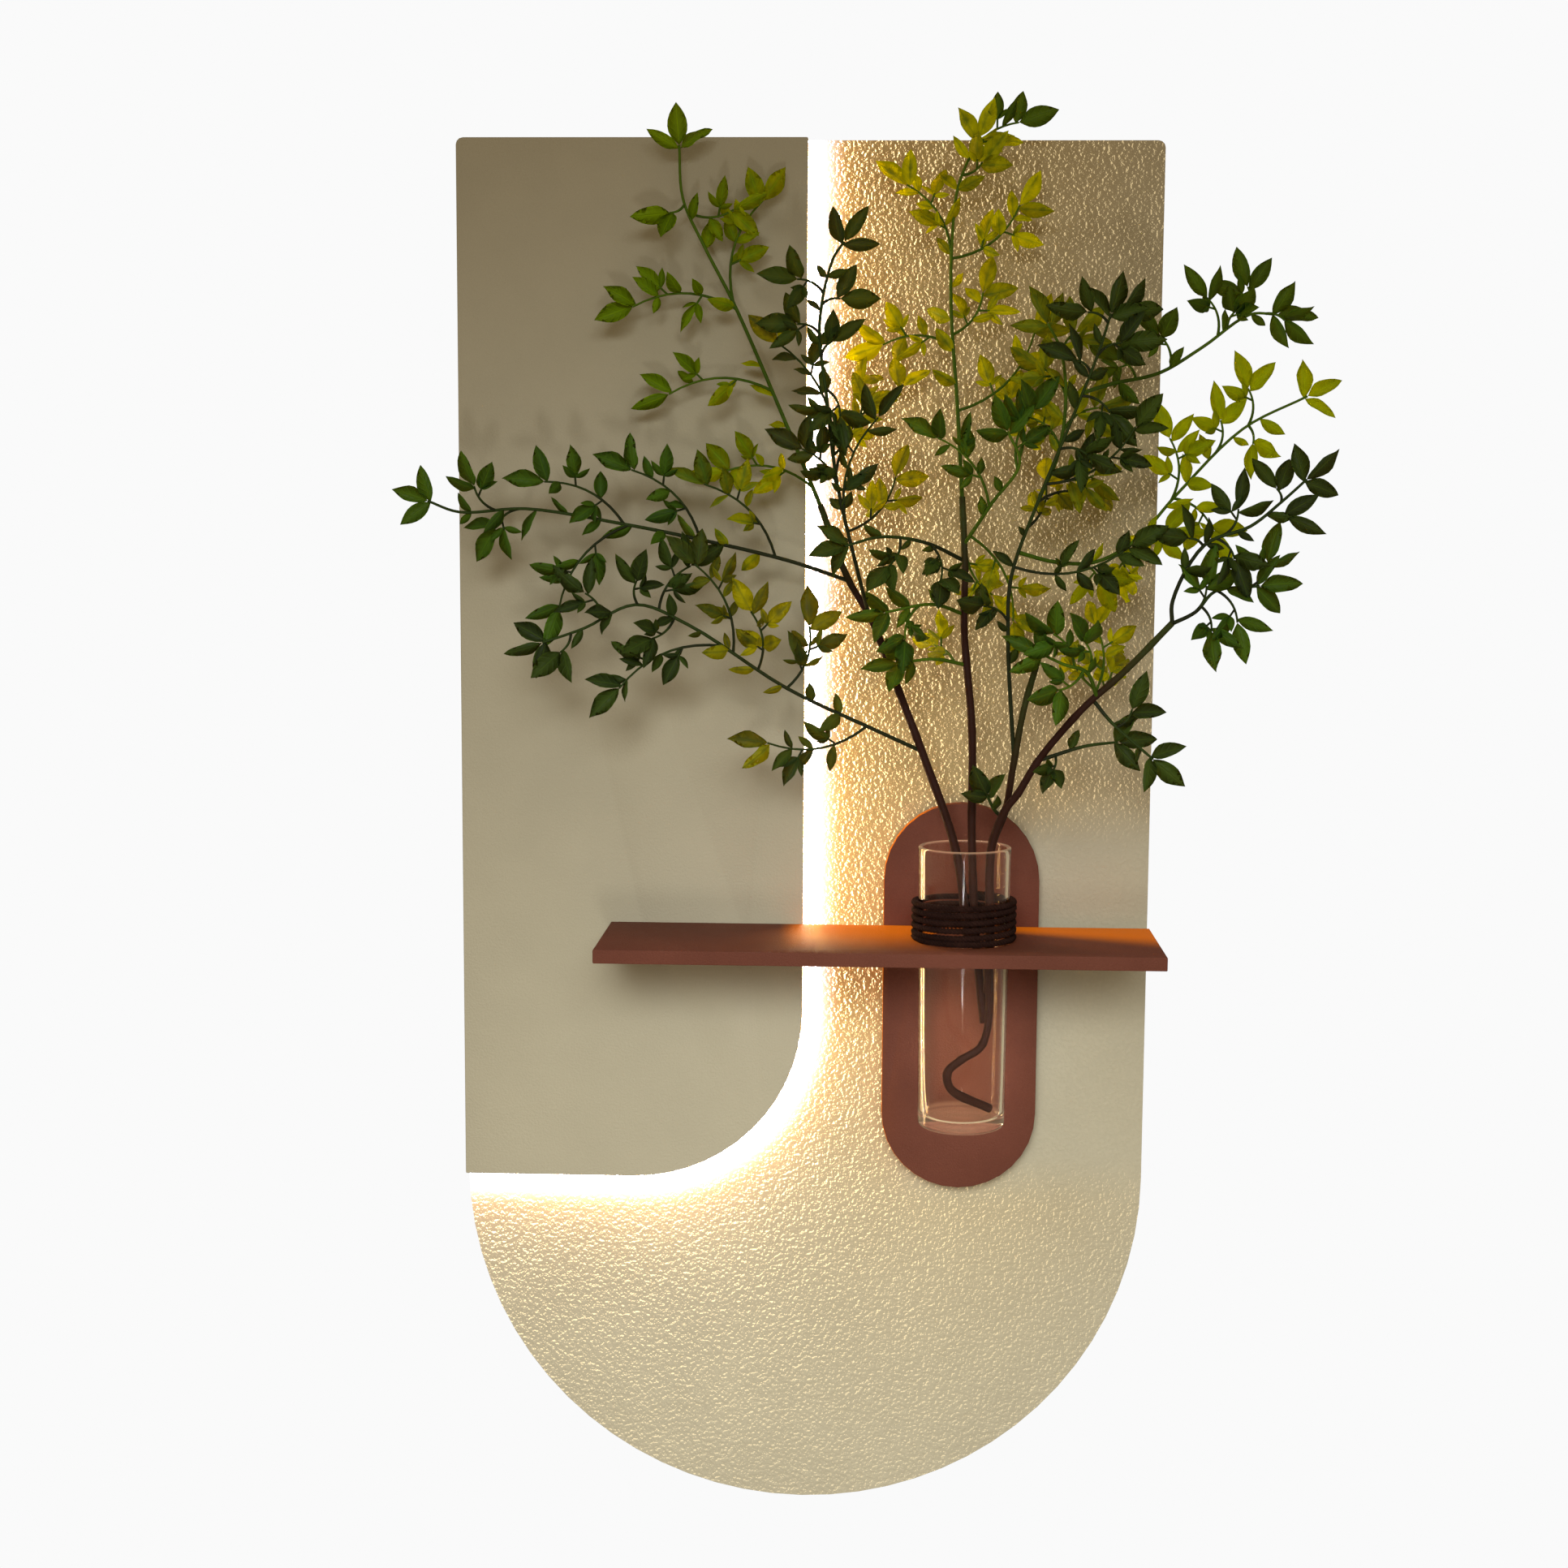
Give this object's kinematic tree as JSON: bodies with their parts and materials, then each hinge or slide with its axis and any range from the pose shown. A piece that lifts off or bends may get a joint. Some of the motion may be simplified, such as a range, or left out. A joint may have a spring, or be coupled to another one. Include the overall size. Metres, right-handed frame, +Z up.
{
  "type": "wall vase",
  "caption": "Wall-hung board with a softly backlit raised panel and a narrow shelf, whose hole carries a glass tube with leafy branches.",
  "frame": {"origin": "middle of the top rail's back face, where the vase bears on the wall", "axes": "+X to the right as seen from the room, +Y into the wall, +Z up"},
  "size_m": [0.5257, 0.1511, 0.8261],
  "materials": {
    "sand_paint": "textured matt paint",
    "brown_paint": "satin paint",
    "raw_board": "bare sawn edge",
    "pine": "planed",
    "steel": "zinc plated",
    "led_tape": "lit warm white tape",
    "black_plastic": "matt",
    "rubber": "matt",
    "glass": "clear",
    "rope": "twisted fibre",
    "stem": "bark-like",
    "leaf": "soft satin"
  },
  "bodies": {
    "board": {"base_board": "sand_paint", "block_screw_1": "steel", "block_screw_2": "steel", "dc_jack": "black_plastic", "front_panel": "sand_paint", "hanger_left": "steel", "hanger_right": "steel", "hanger_screw_1": "steel", "hanger_screw_2": "steel", "hanger_screw_3": "steel", "hanger_screw_4": "steel", "inlet_block": "black_plastic", "jack_nut": "steel", "lead_clip_1": "black_plastic", "lead_clip_2": "black_plastic", "lead_clip_3": "black_plastic", "led_lead": "black_plastic", "led_tape": "led_tape", "lower_rail": "pine", "panel_spacer": "raw_board", "pill_plate": "brown_paint", "pill_spacer": "raw_board", "rail_screw_1": "steel", "rail_screw_2": "steel", "rail_screw_3": "steel", "rail_screw_4": "steel", "shelf": "brown_paint", "shelf_screw_1": "steel", "shelf_screw_2": "steel", "shelf_screw_3": "steel", "shelf_screw_4": "steel", "top_rail": "pine", "wall_pad_left": "rubber", "wall_pad_right": "rubber"},
    "vase": {"glass_tube": "glass", "rope_winding": "rope"},
    "branches": {"centre_cross": "leaf", "centre_top": "leaf", "centre_twig_high": "leaf", "centre_twig_low": "leaf", "centre_twig_mid": "leaf", "front_right": "leaf", "left_dark": "leaf", "left_long": "leaf", "left_low": "leaf", "left_top": "leaf", "mouth_twig": "leaf", "right_bright": "leaf", "right_inner": "leaf", "right_low": "leaf", "right_mid": "leaf", "right_tail": "leaf", "right_tail_low": "leaf", "right_tall": "leaf", "right_top": "leaf", "stem_centre": "stem", "stem_left": "stem", "stem_low": "stem", "stem_right": "stem"}
  },
  "joints": [
    {"name": "vase_lift", "type": "slide", "parent": "board", "child": "vase", "axis": [0, 0, 1], "range_m": [0, 0.12]},
    {"name": "branches_lift", "type": "slide", "parent": "vase", "child": "branches", "axis": [0, 0, 1], "range_m": [0, 0.16]}
  ]
}
